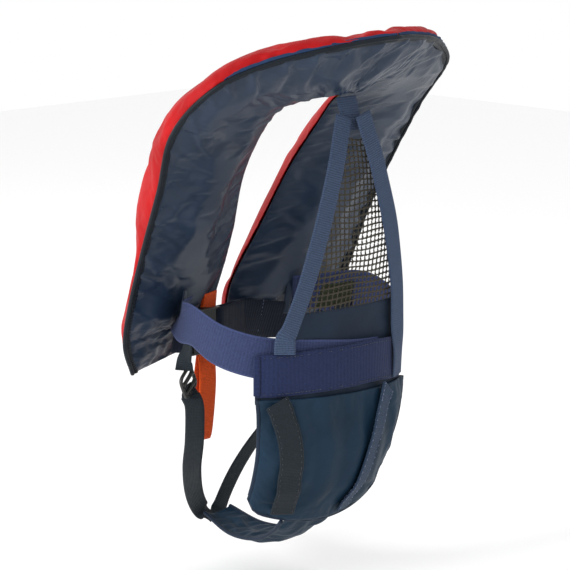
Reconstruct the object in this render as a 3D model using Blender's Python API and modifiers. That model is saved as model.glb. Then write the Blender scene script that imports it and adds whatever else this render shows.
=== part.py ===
"""Inflatable child's life jacket: a horseshoe collar on a belt, yoke and crotch harness.

Metres, +Z up, +X the wearer's left, -Y the front.  The origin is on the torso's axis,
at the height of the middle of the front belt.
"""
import math

import bmesh
import bpy
from mathutils import Matrix, Vector

MM = 0.001

# Driving dimensions
CLOTH = 1.2 * MM               # cover and lining cloth with its seam allowance
BELT_WIDTH = 40 * MM
BELT_THICK = 1.8 * MM
STRAP_WIDTH = 20 * MM
STRAP_THICK = 1.6 * MM
TORSO_X = 136 * MM             # half the chest loop's breadth
TORSO_BACK = 100 * MM          # torso axis to the back belt
LOBE_DEPTH = 44 * MM           # collar thickness on the chest
NECK_DEPTH = 25 * MM           # collar thickness over the shoulders and nape
SIDE_ARC = math.radians(10)    # how far the cover's section wraps past its widest point
SECTION_POWER = 0.85           # 1 is an ellipse, less is boxier
LOBE_CLEAR = 0.4 * MM          # half the gap where the two halves of the collar meet
COLLAR_ROWS = 22
SECTION_POINTS = 15

# Collar stations from the left lobe's foot to the centre back: inner seam, outer seam
COLLAR_STATIONS = [
    ((20, -103, -20), (124, -90, -34)),
    ((12, -97, 8), (146, -76, 0)),
    ((9, -83, 45), (153, -60, 43)),
    ((18, -54, 100), (156, -36, 103)),
    ((31, -24, 163), (162, -7, 163)),
    ((37, 10, 211), (172, 24, 222)),
    ((34, 33, 235), (162, 67, 266)),
    ((25, 58, 245), (122, 97, 289)),
    ((12, 78, 249), (66, 130, 303)),
    ((0, 86, 250), (0, 152, 311)),
]

RED = (0.72, 0.02, 0.03)
NAVY = (0.035, 0.05, 0.1)
BELT_BLUE = (0.07, 0.08, 0.22)
YOKE_BLUE = (0.06, 0.1, 0.22)
BLACK = (0.02, 0.024, 0.03)
ORANGE = (0.6, 0.07, 0.02)
GREY = (0.2, 0.2, 0.18)
YELLOW = (0.75, 0.6, 0.03)
STEEL = (0.55, 0.56, 0.58)

for old in list(bpy.data.objects):
    bpy.data.objects.remove(old)

PARTS = bpy.data.collections.new("life_jacket")
CUTTERS = bpy.data.collections.new("cutters")
bpy.context.scene.collection.children.link(PARTS)
bpy.context.scene.collection.children.link(CUTTERS)


# ---------------------------------------------------------------- helpers

def material(name, colour, roughness, metallic=0.0):
    made = bpy.data.materials.new(name)
    made.use_nodes = True
    shader = made.node_tree.nodes["Principled BSDF"]
    shader.inputs["Base Color"].default_value = (*colour, 1)
    shader.inputs["Roughness"].default_value = roughness
    shader.inputs["Metallic"].default_value = metallic
    return made


def keep(piece, colour, roughness=0.7, metallic=0.0, smooth=True):
    """Put a finished piece in the parts collection with its own material."""
    for owner in list(piece.users_collection):
        owner.objects.unlink(piece)
    PARTS.objects.link(piece)
    piece.data.materials.clear()
    piece.data.materials.append(material(piece.name, colour, roughness, metallic))
    if smooth and piece.type == "MESH":
        piece.data.shade_smooth()
        piece.data.set_sharp_from_angle(angle=math.radians(40))
    return piece


def mesh_object(name, points, faces):
    data = bpy.data.meshes.new(name)
    data.from_pydata([tuple(p) for p in points], [], faces)
    data.validate()
    made = bpy.data.objects.new(name, data)
    PARTS.objects.link(made)
    return made


def millimetres(points):
    return [Vector(p) * MM for p in points]


def smooth_path(points, count):
    """Points along a Catmull-Rom curve through the given points, ends included."""
    ends = [points[0] * 2 - points[1], *points, points[-1] * 2 - points[-2]]
    out = []
    for step in range(count):
        place = step / (count - 1) * (len(points) - 1)
        span = min(int(place), len(points) - 2)
        t = place - span
        a, b, c, d = ends[span:span + 4]
        out.append(0.5 * (2 * b + (c - a) * t + (2 * a - 5 * b + 4 * c - d) * t * t
                          + (3 * b - a - 3 * c + d) * t * t * t))
    return out


def grid(rows, name, thick, offset=0.0):
    """A sheet through rows of points, thickened by Solidify into one closed body."""
    wide = len(rows[0])
    points = [p for row in rows for p in row]
    faces = []
    for r in range(len(rows) - 1):
        for c in range(wide - 1):
            a = r * wide + c
            faces.append((a, a + 1, a + wide + 1, a + wide))
    made = mesh_object(name, points, faces)
    shell = made.modifiers.new("cloth", "SOLIDIFY")
    shell.thickness = thick
    shell.offset = offset
    return made


def ribbon(name, path, across, width, thick, count=24, strips=1):
    """Flat webbing along a smooth path; across gives its width direction at each point."""
    centre = smooth_path(millimetres(path), count)
    sides = smooth_path([Vector(a) for a in across], count)
    rows = []
    for point, side in zip(centre, sides):
        step = side.normalized() * width / strips
        rows.append([point + step * (k - strips / 2) for k in range(strips + 1)])
    return grid(rows, name, thick)


def box(name, low, high, bevel=0.0):
    bpy.ops.mesh.primitive_cube_add(size=1)
    made = bpy.context.object
    made.name = name
    low, high = Vector(low) * MM, Vector(high) * MM
    for corner in made.data.vertices:
        corner.co = Vector([low[i] if corner.co[i] < 0 else high[i] for i in range(3)])
    if bevel:
        round_off = made.modifiers.new("round", "BEVEL")
        round_off.width = bevel * MM
        round_off.segments = 2
    return made


def turned(name, start, axis, profile, sides=20):
    """A turned body on an axis; profile lists (distance along the axis, radius) in mm."""
    axis = Vector(axis).normalized()
    to_world = axis.to_track_quat("Z", "Y").to_matrix()
    centre = Vector(start) * MM
    form = bmesh.new()
    rings = []
    for along, radius in profile:
        ring = []
        for k in range(sides):
            turn = 2 * math.pi * k / sides
            local = Vector((math.cos(turn) * radius, math.sin(turn) * radius, along)) * MM
            ring.append(form.verts.new(centre + to_world @ local))
        rings.append(ring)
    for low, high in zip(rings, rings[1:]):
        for k in range(sides):
            n = (k + 1) % sides
            form.faces.new((low[k], low[n], high[n], high[k]))
    form.faces.new(reversed(rings[0]))
    form.faces.new(rings[-1])
    data = bpy.data.meshes.new(name)
    form.to_mesh(data)
    form.free()
    made = bpy.data.objects.new(name, data)
    PARTS.objects.link(made)
    return made


def combine(target, tool, operation):
    """Cut the target with the tool, or join the tool to it."""
    tool.hide_render = True
    tool.display_type = "WIRE"
    for owner in list(tool.users_collection):
        owner.objects.unlink(tool)
    CUTTERS.objects.link(tool)
    step = target.modifiers.new(operation.lower(), "BOOLEAN")
    step.operation = operation
    step.object = tool
    step.solver = "EXACT"
    return target


def tube(name, path, radius, closed=False, count=40, resolution=2):
    curve = bpy.data.curves.new(name, "CURVE")
    curve.dimensions = "3D"
    spline = curve.splines.new("POLY")
    points = smooth_path(path, count)
    spline.points.add(len(points) - 1)
    for knot, point in zip(spline.points, points):
        knot.co = (*point, 1)
    spline.use_cyclic_u = closed
    curve.bevel_depth = radius
    curve.bevel_resolution = resolution
    curve.use_fill_caps = True
    made = bpy.data.objects.new(name, curve)
    PARTS.objects.link(made)
    return made


# ---------------------------------------------------------------- collar

def collar_frames(rows=COLLAR_ROWS):
    """Frames up the left lobe to the nape: centre, across, forward, half width, depth."""
    inner = smooth_path(millimetres([s[0] for s in COLLAR_STATIONS]), rows)
    outer = smooth_path(millimetres([s[1] for s in COLLAR_STATIONS]), rows)
    frames = []
    for r in range(rows):
        centre = (inner[r] + outer[r]) / 2
        before, after = max(r - 1, 0), min(r + 1, rows - 1)
        along = (inner[after] + outer[after] - inner[before] - outer[before]).normalized()
        if r == rows - 1:
            along = Vector((-1, 0, 0))
        across = (outer[r] - inner[r]).normalized()
        forward = across.cross(along).normalized()
        place = r / (rows - 1)
        slim = min(1, max(0, (place - 0.44) / 0.26))
        depth = LOBE_DEPTH + (NECK_DEPTH - LOBE_DEPTH) * slim * slim * (3 - 2 * slim)
        foot = min(1, place / 0.14)
        depth *= 0.12 + 0.88 * math.sqrt(1 - (1 - foot) ** 2)
        frames.append((centre, across, forward, (outer[r] - inner[r]).length / 2, depth))
    return frames


def power(value):
    return math.copysign(abs(value) ** SECTION_POWER, value)


def cover_point(frame, turn):
    """A point on the front cover: turn is the angle about the section's middle."""
    centre, across, forward, half, depth = frame
    reach = half / power(math.cos(SIDE_ARC))
    rise = depth / (1 + power(math.sin(SIDE_ARC)))
    height = rise * (power(math.sin(turn)) + power(math.sin(SIDE_ARC)))
    point = centre + across * reach * power(math.cos(turn)) + forward * height
    point.x = max(point.x, LOBE_CLEAR)
    return point


def cover_section(frame):
    """The front cover's section, from the outer seam over the front to the inner seam."""
    sweep = math.pi + 2 * SIDE_ARC
    return [cover_point(frame, -SIDE_ARC + sweep * k / (SECTION_POINTS - 1))
            for k in range(SECTION_POINTS)]


def lining_section(frame, belly=5 * MM, inset=2.0 * MM, points=9):
    """The lining's section, bowed a little towards the wearer."""
    centre, across, forward, half, depth = frame
    row = []
    for k in range(points):
        side = 1 - 2 * k / (points - 1)
        bow = belly * (1 - side * side) * depth / LOBE_DEPTH
        row.append(centre + across * (half - inset) * side - forward * bow)
    return row


def flipped(rows):
    """The wearer's right-hand copy of rows on the left, wound the same way out."""
    return [[Vector((-p.x, p.y, p.z)) for p in reversed(row)] for row in rows]


def make_collar():
    frames = collar_frames()
    frames[-1][0].x = LOBE_CLEAR
    cover_rows = [cover_section(f) for f in frames]
    lining_rows = [lining_section(f) for f in frames]
    for side, turn in (("left", lambda rows: rows), ("right", flipped)):
        cover = grid(turn(cover_rows), "cover_" + side, CLOTH, offset=1.0)
        keep(cover, RED, 0.55)
        lining = grid(turn(lining_rows), "lining_" + side, CLOTH, offset=0.0)
        keep(lining, NAVY, 0.45)
    return frames


def make_bladder(frames):
    """The folded inflation bladder: one flat horseshoe between lining and cover."""
    left = frames[2:]
    right = [(Vector((-c.x, c.y, c.z)), Vector((-a.x, a.y, a.z)), Vector((-f.x, f.y, f.z)), h, d)
             for c, a, f, h, d in reversed(frames[2:-1])]
    rings = []
    sides = 12
    for centre, across, forward, half, depth in left + right:
        thick = 0.27 * depth
        middle = centre + forward * (thick / 2 + 3 * MM)
        ring = []
        for k in range(sides):
            turn = 2 * math.pi * k / sides
            ring.append(middle + across * (half - 9 * MM) * power(math.cos(turn))
                        + forward * thick / 2 * power(math.sin(turn)))
        rings.append(ring)
    points = [p for ring in rings for p in ring]
    faces = [tuple(reversed(range(sides)))]
    for r in range(len(rings) - 1):
        for k in range(sides):
            n = (k + 1) % sides
            faces.append((r * sides + k, r * sides + n, (r + 1) * sides + n, (r + 1) * sides + k))
    faces.append(tuple(range(len(points) - sides, len(points))))
    made = mesh_object("bladder", points, faces)
    form = bmesh.new()
    form.from_mesh(made.data)
    bmesh.ops.recalc_face_normals(form, faces=form.faces)
    form.to_mesh(made.data)
    form.free()
    keep(made, YELLOW, 0.5)


def make_piping(frames):
    """The cord sewn into the outer seam all round the horseshoe."""
    edge = [c + a * (h + 0.3 * MM) - f * 2.3 * MM for c, a, f, h, d in frames]
    mirror = [Vector((-p.x, p.y, p.z)) for p in reversed(edge[:-1])]
    edge[-1].x = 0
    keep(tube("outer_piping", edge + mirror, 1.4 * MM, count=64), NAVY, 0.5)


def make_closure_strips(frames):
    """The hook-and-loop closure flap beside the outer seam, over the shoulder and nape."""
    rows = []
    for frame in frames[11:]:
        row = []
        for turn in (-0.13, -0.03, 0.07, 0.17):
            point = cover_point(frame, turn)
            slope = cover_point(frame, turn + 0.05) - cover_point(frame, turn - 0.05)
            out = slope.cross(frame[1].cross(frame[2])).normalized()
            if out.dot(frame[1]) < 0:
                out = -out
            row.append(point + out * 1.5 * MM)
        rows.append(row)
    for side, turn in (("left", lambda r: r), ("right", flipped)):
        keep(grid(turn(rows), "closure_strip_" + side, 0.9 * MM), (0.1, 0.22, 0.45), 0.6)


# ---------------------------------------------------------------- belt and buckle

def mirrored(points):
    return [(-x, y, z) for x, y, z in points]


BACK_BELT = [(78, -66, 24), (103, -40, 23), (120, -5, 27), (122, 30, 15), (108, 58, 3), (84, 77, -8),
             (45, 92, -13)]


def make_belts():
    path = BACK_BELT + [(0, 97, -14)] + mirrored(reversed(BACK_BELT))
    lean = (0, 0.33, 1)
    across = [lean, (0, 0.1, 1)] + [(0, 0, 1)] * (len(path) - 4) + [(0, 0.1, 1), lean]
    keep(ribbon("back_belt", path, across, BELT_WIDTH, BELT_THICK, count=44, strips=2), BELT_BLUE)
    front_right = [(16.5, -77, 0), (-5, -79, 0), (-30, -82.5, 0), (-55, -83, 0), (-73, -80, 0)]
    across = [(0, 0, 1), (0, 0, 1), (0, 0.15, 1), lean, lean]
    keep(ribbon("front_belt_right", front_right, across, BELT_WIDTH, BELT_THICK, count=14, strips=2),
         BELT_BLUE)
    front_left = [(67, -71, 0), (70, -73, 0), (74, -75.5, 0)]
    across = [(0, 0, 1), (0, 0.1, 1), (0, 0.2, 1)]
    keep(ribbon("front_belt_left", front_left, across, BELT_WIDTH, BELT_THICK, count=5), BELT_BLUE)
    sleeve = [(104, 67.5, -14), (87, 81, -14), (55, 95, -13), (15, 103, -13), (-20, 103, -13),
              (-50, 97.5, -16), (-77, 85.5, -20)]
    keep(ribbon("belt_sleeve", sleeve, [(0, 0, 1)] * len(sleeve), 41 * MM, 2 * MM, count=24,
                strips=2), BELT_BLUE)


def make_buckle():
    """Side-release buckle in the front belt, behind the left lobe."""
    body = box("buckle_female", (38, -76, -23), (66, -66, 23), bevel=1.2)
    combine(body, box("female_hollow", (30, -74.2, -19.5), (60, -67.8, 19.5)), "DIFFERENCE")
    combine(body, box("female_windows", (44, -73.4, -30), (57, -68.6, 30)), "DIFFERENCE")
    combine(body, box("female_web_slot", (61.6, -80, -20.5), (64, -60, 20.5)), "DIFFERENCE")
    keep(body, BLACK, 0.45)
    male = box("buckle_male", (22, -74, -22), (37.3, -68, 22), bevel=1.0)
    combine(male, box("male_tongue", (36, -72.5, -4), (56, -69.5, 4)), "UNION")
    combine(male, box("male_web_slot", (24.6, -80, -20.5), (29, -60, 20.5)), "DIFFERENCE")
    keep(male, BLACK, 0.45)
    for name, side in (("prong_upper", 1), ("prong_lower", -1)):
        arm = box(name, (38, -72.8, 11.0 * side if side > 0 else -15.0),
                  (57, -69.2, 15.0 if side > 0 else -11.0), bevel=0.6)
        low, high = sorted((13.0 * side, 18.8 * side))
        combine(arm, box(name + "_barb", (48, -72.7, low), (56.5, -69.3, high)), "UNION")
        keep(arm, BLACK, 0.45)
    web = [(21.4, -71, 0), (14, -71.6, 0), (7, -72.4, 0)]
    keep(ribbon("adjuster_web", web, [(0, 0, 1)] * 3, BELT_WIDTH - 1 * MM, BELT_THICK, count=5),
         BELT_BLUE)


# ---------------------------------------------------------------- yoke

YOKE_LEFT = [(10, 91.5, 230), (32, 97, 165), (57, 95, 90), (74, 90, 42), (84, 85.5, 11)]
YOKE_RIGHT = [(-9, 98, 231), (-24, 104, 180), (-43, 104, 118), (-56, 100.5, 60), (-61, 97.5, 14),
              (-63, 96.5, -12), (-64, 94.5, -36)]


def make_yoke():
    left_across = [(0.94, -0.08, 0.33)] * 4 + [(0.96, -0.25, 0.2)]
    keep(ribbon("yoke_strap_left", YOKE_LEFT, left_across, STRAP_WIDTH, STRAP_THICK), YOKE_BLUE)
    right_across = [(0.95, 0.05, -0.28)] * 3 + [(0.97, 0.15, -0.1)] * 2 + [(0.93, 0.36, 0)] * 2
    keep(ribbon("yoke_strap_right", YOKE_RIGHT, right_across, STRAP_WIDTH, STRAP_THICK), YOKE_BLUE)
    tab = [(0, 88.5, 222), (0, 87.5, 233), (0, 86, 246)]
    keep(ribbon("yoke_tab", tab, [(1, 0, 0)] * 3, 24 * MM, STRAP_THICK, count=4), NAVY)
    rows = []
    for height in (205, 180, 152, 125, 95, 68, 45):
        rows.append(yoke_row(height, 6.5 * MM))
    keep(grid(rows, "yoke_mesh", 1 * MM), GREY)
    band = [yoke_row(height, 6.5 * MM) for height in (44, 34, 24, 13)]
    keep(grid(band, "yoke_base", 1.6 * MM), NAVY)
    label = [yoke_row(height, 9 * MM, 0.22, 0.55) for height in (69, 58, 47)]
    keep(grid(label, "blank_label", 0.8 * MM), (0.12, 0.14, 0.1))


def yoke_row(height, inside, start=0.0, end=1.0, count=8):
    """A level row of points across the yoke, a set distance inside its straps."""
    left = at_height(YOKE_LEFT, height)
    right = at_height(YOKE_RIGHT, height)
    row = []
    for k in range(count):
        place = start + (end - start) * k / (count - 1)
        point = left.lerp(right, place)
        bulge = 9 * MM * 4 * place * (1 - place) * (left - right).length / (150 * MM)
        row.append(point + Vector((0, bulge - inside, 0)))
    return row


def at_height(path, height):
    """The point of a falling path (mm) at a height in mm, in metres."""
    for high, low in zip(path, path[1:]):
        if high[2] >= height >= low[2]:
            place = (high[2] - height) / (high[2] - low[2])
            return Vector(high).lerp(Vector(low), place) * MM
    return Vector(path[-1]) * MM


# ---------------------------------------------------------------- seat and crotch

SEAT_LEFT = 104 * MM
SEAT_RIGHT = -83 * MM


def seat_point(x, fall, outside=0.0):
    """A point on the seat panel: x in metres, fall 0 at its top to 1 at its hem."""
    top = -37.2 * MM - (SEAT_LEFT - x) / (SEAT_LEFT - SEAT_RIGHT) * 4.8 * MM
    hem = -172 * MM + 2.3 * (x - 15 * MM) ** 2
    ring = math.sqrt(max(0, 1 - (x / TORSO_X) ** 2)) * TORSO_BACK + 4 * MM
    y = ring * (1 - 0.35 * fall ** 2.2)
    return Vector((x * (1 - 0.06 * fall), y + outside, top + (hem - top) * fall))


def make_seat():
    rows = []
    for r in range(9):
        rows.append([seat_point(SEAT_LEFT + (SEAT_RIGHT - SEAT_LEFT) * c / 12, r / 8)
                     for c in range(13)])
    keep(grid(rows, "seat_panel", 4 * MM), NAVY)
    for name, start, end, across in (("seat_strap_left", 86, 60, (0.93, -0.36, 0)),
                                     ("seat_strap_right", -56, -22, (0.93, 0.3, 0))):
        path = []
        for step in range(8):
            fall = 0.01 + 0.95 * step / 7
            path.append(seat_point((start + (end - start) * step / 7) * MM, fall, 5 * MM) / MM)
        keep(ribbon(name, path, [across] * 8, 23 * MM, STRAP_THICK, count=16), BLACK)


CROTCH_PATH = [(20, 56, -178), (18, 34, -197), (14, 2, -209), (9, -46, -213), (4, -94, -203)]


def make_crotch():
    centre = smooth_path(millimetres(CROTCH_PATH), 15)
    rows = []
    for r, point in enumerate(centre):
        half = (44 - 26 * r / 14) * MM
        rows.append([point + Vector((half * side, 0, 3 * MM * side * side))
                     for side in (-1, -0.5, 0, 0.5, 1)])
    keep(grid(rows, "crotch_pad", 7 * MM), NAVY)
    near = [(100.4, -19.4, -46), (96, -22, -62), (89, -37, -100), (74, -57, -135),
            (46, -84, -172), (16, -104, -199.5)]
    diagonal = (0.7, -0.7, 0)
    across = [(0.5, -0.5, -0.6), (0.65, -0.65, -0.2), diagonal, diagonal, (0.85, -0.5, 0),
              (1, 0, 0)]
    keep(ribbon("crotch_strap_left", near, across, 18 * MM, STRAP_THICK, count=26), BLACK)
    far = [(-100.4, -19.4, -46), (-97, -25, -60), (-93, -54, -78), (-78, -80, -100),
           (-55, -93, -131), (-30, -102, -166), (-8, -104, -199.5)]
    across = [(0.5, 0.5, 0.6), (0.6, 0.6, 0.3), (0.75, 0.6, 0.2), (0.9, 0.3, 0.2),
              (0.9, 0.1, 0.3), (0.95, 0, 0.2), (1, 0, 0)]
    keep(ribbon("crotch_strap_right", far, across, 18 * MM, STRAP_THICK, count=26), BLACK)


LOCK_CENTRE = Vector((107, -26, -35)) * MM
LOCK_BAR = Vector((0.5, -0.5, -0.6)).normalized()
LOCK_DOWN = Vector((-0.45, 0.45, -0.745)).normalized()


def make_ladder_locks():
    """The tri-glide adjusters that join each crotch strap to its hanger on the belt."""
    for side, sign in (("left", 1), ("right", -1)):
        frame = box("ladder_lock_" + side, (-14.5, -13.5, -1.8), (14.5, 13.5, 1.8), bevel=1.2)
        for name, low, high in (("upper", -10.3, -4.9), ("lower", -0.6, 5.6)):
            slot = box("lock_slot_" + name + side, (-10.6, low, -5), (10.6, high, 5))
            combine(frame, slot, "DIFFERENCE")
        bar = Vector((sign * LOCK_BAR.x, LOCK_BAR.y, LOCK_BAR.z)).normalized()
        down = Vector((sign * LOCK_DOWN.x, LOCK_DOWN.y, LOCK_DOWN.z))
        down = (down - bar * down.dot(bar)).normalized()
        normal = bar.cross(down)
        centre = Vector((sign * LOCK_CENTRE.x, LOCK_CENTRE.y, LOCK_CENTRE.z))
        place_mesh(frame, bar, down, normal, centre)
        keep(frame, (0.05, 0.05, 0.045), 0.5)
        hanger = [(107.6, -22.5, 18), (108.8, -25, -3), (110, -28, -14),
                  tuple((LOCK_CENTRE - LOCK_DOWN * 14.6 * MM) / MM)]
        across = [(0.46, 0.89, 0), (0.46, 0.8, 0), (0.5, 0.1, -0.4), tuple(LOCK_BAR)]
        if sign < 0:
            hanger = mirrored(hanger)
            across = mirrored(across)
        keep(ribbon("lock_hanger_" + side, hanger, across, 16 * MM, STRAP_THICK, count=12), BLACK)


def place_mesh(piece, x_axis, y_axis, z_axis, origin):
    """Put a piece modelled about the world's axes on its own axes at its own place."""
    turn = Matrix((x_axis, y_axis, z_axis)).transposed().to_4x4()
    piece.matrix_world = Matrix.Translation(origin) @ turn
    for step in piece.modifiers:
        if step.type == "BOOLEAN":
            step.object.matrix_world = Matrix.Translation(origin) @ turn


# ---------------------------------------------------------------- lifting strap

def make_lifting_strap():
    top = [(28, -76, 36), (28, -80, 14), (28, -82, -10), (28, -83, -23.4)]
    keep(ribbon("lifting_anchor", top, [(1, 0, 0)] * 4, 21 * MM, 2.2 * MM, count=8), ORANGE)
    loop = [(28, -81.7, -24.6), (30, -79.5, -60), (34, -80.5, -106), (35, -84, -117),
            (35, -88, -106), (32, -87.3, -60), (28, -84.4, -24.6)]
    across = [(1, 0, 0)] * 7
    keep(ribbon("lifting_strap", loop, across, 23 * MM, 1.5 * MM, count=40), ORANGE)


# ---------------------------------------------------------------- inflation gear

INFLATOR_ROW = 5
ORAL_ROW = 5
GEAR_HEIGHT = 28 * MM          # gear centre above the lining


def gear_axes(frames, row, side):
    """Axes inside a lobe: outward, up the lobe and forward, with their origin."""
    centre, across, forward, half, depth = frames[row]
    if side < 0:
        centre = Vector((-centre.x, centre.y, centre.z))
        across = Vector((-across.x, across.y, across.z))
        forward = Vector((-forward.x, forward.y, forward.z))
    up = (forward.cross(across) * side).normalized()
    return across, up, forward, centre + forward * GEAR_HEIGHT


def gear_turned(name, axes, profile, at=(0, 0), colour=GREY, roughness=0.4, metallic=0.0,
                sides=20):
    """A turned piece along the lobe, at (outward, forward) mm from the gear's centre."""
    across, up, forward, origin = axes
    start = origin + across * at[0] * MM + forward * at[1] * MM
    return keep(turned(name, start / MM, up, profile, sides), colour, roughness, metallic)


def make_inflator(frames):
    axes = gear_axes(frames, INFLATOR_ROW, -1)
    across, up, forward, origin = axes
    body = box("inflator_body", (-15, -20, -10), (15, 14, 10), bevel=1.5)
    pin_bore = turned("pin_bore", (0, -6, 0), (0, 1, 0), [(0, 2.3), (25, 2.3)], 16)
    combine(body, pin_bore, "DIFFERENCE")
    bobbin_bore = turned("bobbin_bore", (0, -25, 0), (0, 1, 0), [(0, 7.4), (14, 7.4)], 16)
    combine(body, bobbin_bore, "DIFFERENCE")
    place_mesh(body, -across, up, forward, origin)
    keep(body, BLACK, 0.4)
    gear_turned("firing_pin", axes, [(-4.5, 1.7), (6, 1.7), (8.5, 0.7)], colour=STEEL,
                metallic=1.0, roughness=0.3, sides=12)
    gear_turned("salt_bobbin", axes, [(-19, 6.6), (-11.6, 6.6)], colour=YELLOW, sides=16)
    gear_turned("capsule_cap", axes, [(-20.4, 9), (-30, 8.4), (-31, 7.4)][::-1], colour=YELLOW,
                sides=16)
    gear_turned("co2_cylinder", axes,
                [(14.4, 4.5), (24, 4.5), (29, 8), (35, 11), (96, 11), (101, 9), (103, 5)],
                colour=STEEL, metallic=1.0, roughness=0.35, sides=20)
    lever = box("inflator_lever", (15.4, -19, -3), (18.6, 10, 3), bevel=0.6)
    combine(lever, turned("lever_eye", (17, -15.5, -9), (0, 0, 1), [(0, 0.9), (18, 0.9)], 10),
            "DIFFERENCE")
    place_mesh(lever, -across, up, forward, origin)
    keep(lever, RED, 0.4)


def make_oral_gear(frames):
    axes = gear_axes(frames, ORAL_ROW, 1)
    across, up, forward, origin = axes
    stem = gear_turned("oral_tube", axes, [(0, 11), (2, 11), (3, 5.4), (66, 5.4), (68, 6.4),
                                           (76, 6.4)], at=(18, 0), colour=BLACK)
    start = origin + across * 18 * MM
    bore = turned("oral_bore", (start + up * 58 * MM) / MM, up, [(0, 3.8), (30, 3.8)], 16)
    combine(stem, bore, "DIFFERENCE")
    gear_turned("oral_valve", axes, [(61, 3.2), (66, 3.2), (66.5, 1.4), (73, 1.4)], at=(18, 0),
                colour=YELLOW, sides=14)
    cap = gear_turned("dust_cap", axes, [(70, 8.2), (82, 8.2), (83.5, 7)], at=(18, 0),
                      colour=YELLOW)
    hollow = turned("cap_hollow", (start + up * 60 * MM) / MM, up, [(0, 6.8), (20.5, 6.8)], 20)
    combine(cap, hollow, "DIFFERENCE")
    whistle = box("whistle", (-8, 0, -5), (8, 44, 5), bevel=1.2)
    combine(whistle, box("whistle_mouth", (-5.5, 32, -2.6), (5.5, 50, 2.6)), "DIFFERENCE")
    combine(whistle, box("whistle_window", (-5.5, 24, 0), (5.5, 30, 10)), "DIFFERENCE")
    place_mesh(whistle, across, up, forward, origin - across * 26 * MM + up * 8 * MM)
    keep(whistle, ORANGE, 0.4)


collar = make_collar()
make_bladder(collar)
make_piping(collar)
make_closure_strips(collar)
make_belts()
make_buckle()
make_yoke()
make_seat()
make_crotch()
make_ladder_locks()
make_lifting_strap()
make_inflator(collar)
make_oral_gear(collar)
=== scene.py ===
"""The finished look of the inflatable life jacket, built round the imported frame."""
import math

import bmesh
import bpy
from mathutils import Matrix, Vector, noise


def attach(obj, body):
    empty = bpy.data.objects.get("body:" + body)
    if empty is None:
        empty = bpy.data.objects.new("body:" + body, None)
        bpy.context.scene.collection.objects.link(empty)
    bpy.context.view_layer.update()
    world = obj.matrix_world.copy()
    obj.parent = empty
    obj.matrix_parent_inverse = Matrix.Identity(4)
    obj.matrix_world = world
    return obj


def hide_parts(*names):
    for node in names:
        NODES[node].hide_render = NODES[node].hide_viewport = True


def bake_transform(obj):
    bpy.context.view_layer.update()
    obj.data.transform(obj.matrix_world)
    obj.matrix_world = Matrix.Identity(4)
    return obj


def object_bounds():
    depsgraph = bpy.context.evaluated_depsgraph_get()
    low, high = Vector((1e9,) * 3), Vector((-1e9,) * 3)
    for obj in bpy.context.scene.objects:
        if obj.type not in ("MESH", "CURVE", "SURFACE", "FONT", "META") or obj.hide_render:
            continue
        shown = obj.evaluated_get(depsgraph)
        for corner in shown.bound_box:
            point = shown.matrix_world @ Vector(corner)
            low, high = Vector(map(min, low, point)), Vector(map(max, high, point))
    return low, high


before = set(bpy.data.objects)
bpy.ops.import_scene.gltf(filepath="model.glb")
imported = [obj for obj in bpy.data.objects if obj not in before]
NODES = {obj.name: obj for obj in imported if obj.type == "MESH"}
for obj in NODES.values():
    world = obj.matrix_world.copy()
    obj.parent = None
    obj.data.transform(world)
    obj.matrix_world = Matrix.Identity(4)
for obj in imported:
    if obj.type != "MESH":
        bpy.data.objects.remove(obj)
CAD_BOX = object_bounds()
MM = 0.001

# The same driving dimensions as the frame
TORSO_X = 136 * MM
TORSO_BACK = 100 * MM
LOBE_DEPTH = 44 * MM
NECK_DEPTH = 25 * MM
SIDE_ARC = math.radians(10)
SECTION_POWER = 0.85
LOBE_CLEAR = 0.6 * MM
COLLAR_STATIONS = [
    ((20, -103, -20), (124, -90, -34)),
    ((12, -97, 8), (146, -76, 0)),
    ((9, -83, 45), (153, -60, 43)),
    ((18, -54, 100), (156, -36, 103)),
    ((31, -24, 163), (162, -7, 163)),
    ((37, 10, 211), (172, 24, 222)),
    ((34, 33, 235), (162, 67, 266)),
    ((25, 58, 245), (122, 97, 289)),
    ((12, 78, 249), (66, 130, 303)),
    ((0, 86, 250), (0, 152, 311)),
]


# ---------------------------------------------------------------- materials

def srgb(*values):
    """Linear colour from 0-255 screen values."""
    out = []
    for value in values:
        v = value / 255
        out.append(v / 12.92 if v <= 0.04045 else ((v + 0.055) / 1.055) ** 2.4)
    return (*out, 1)


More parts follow.
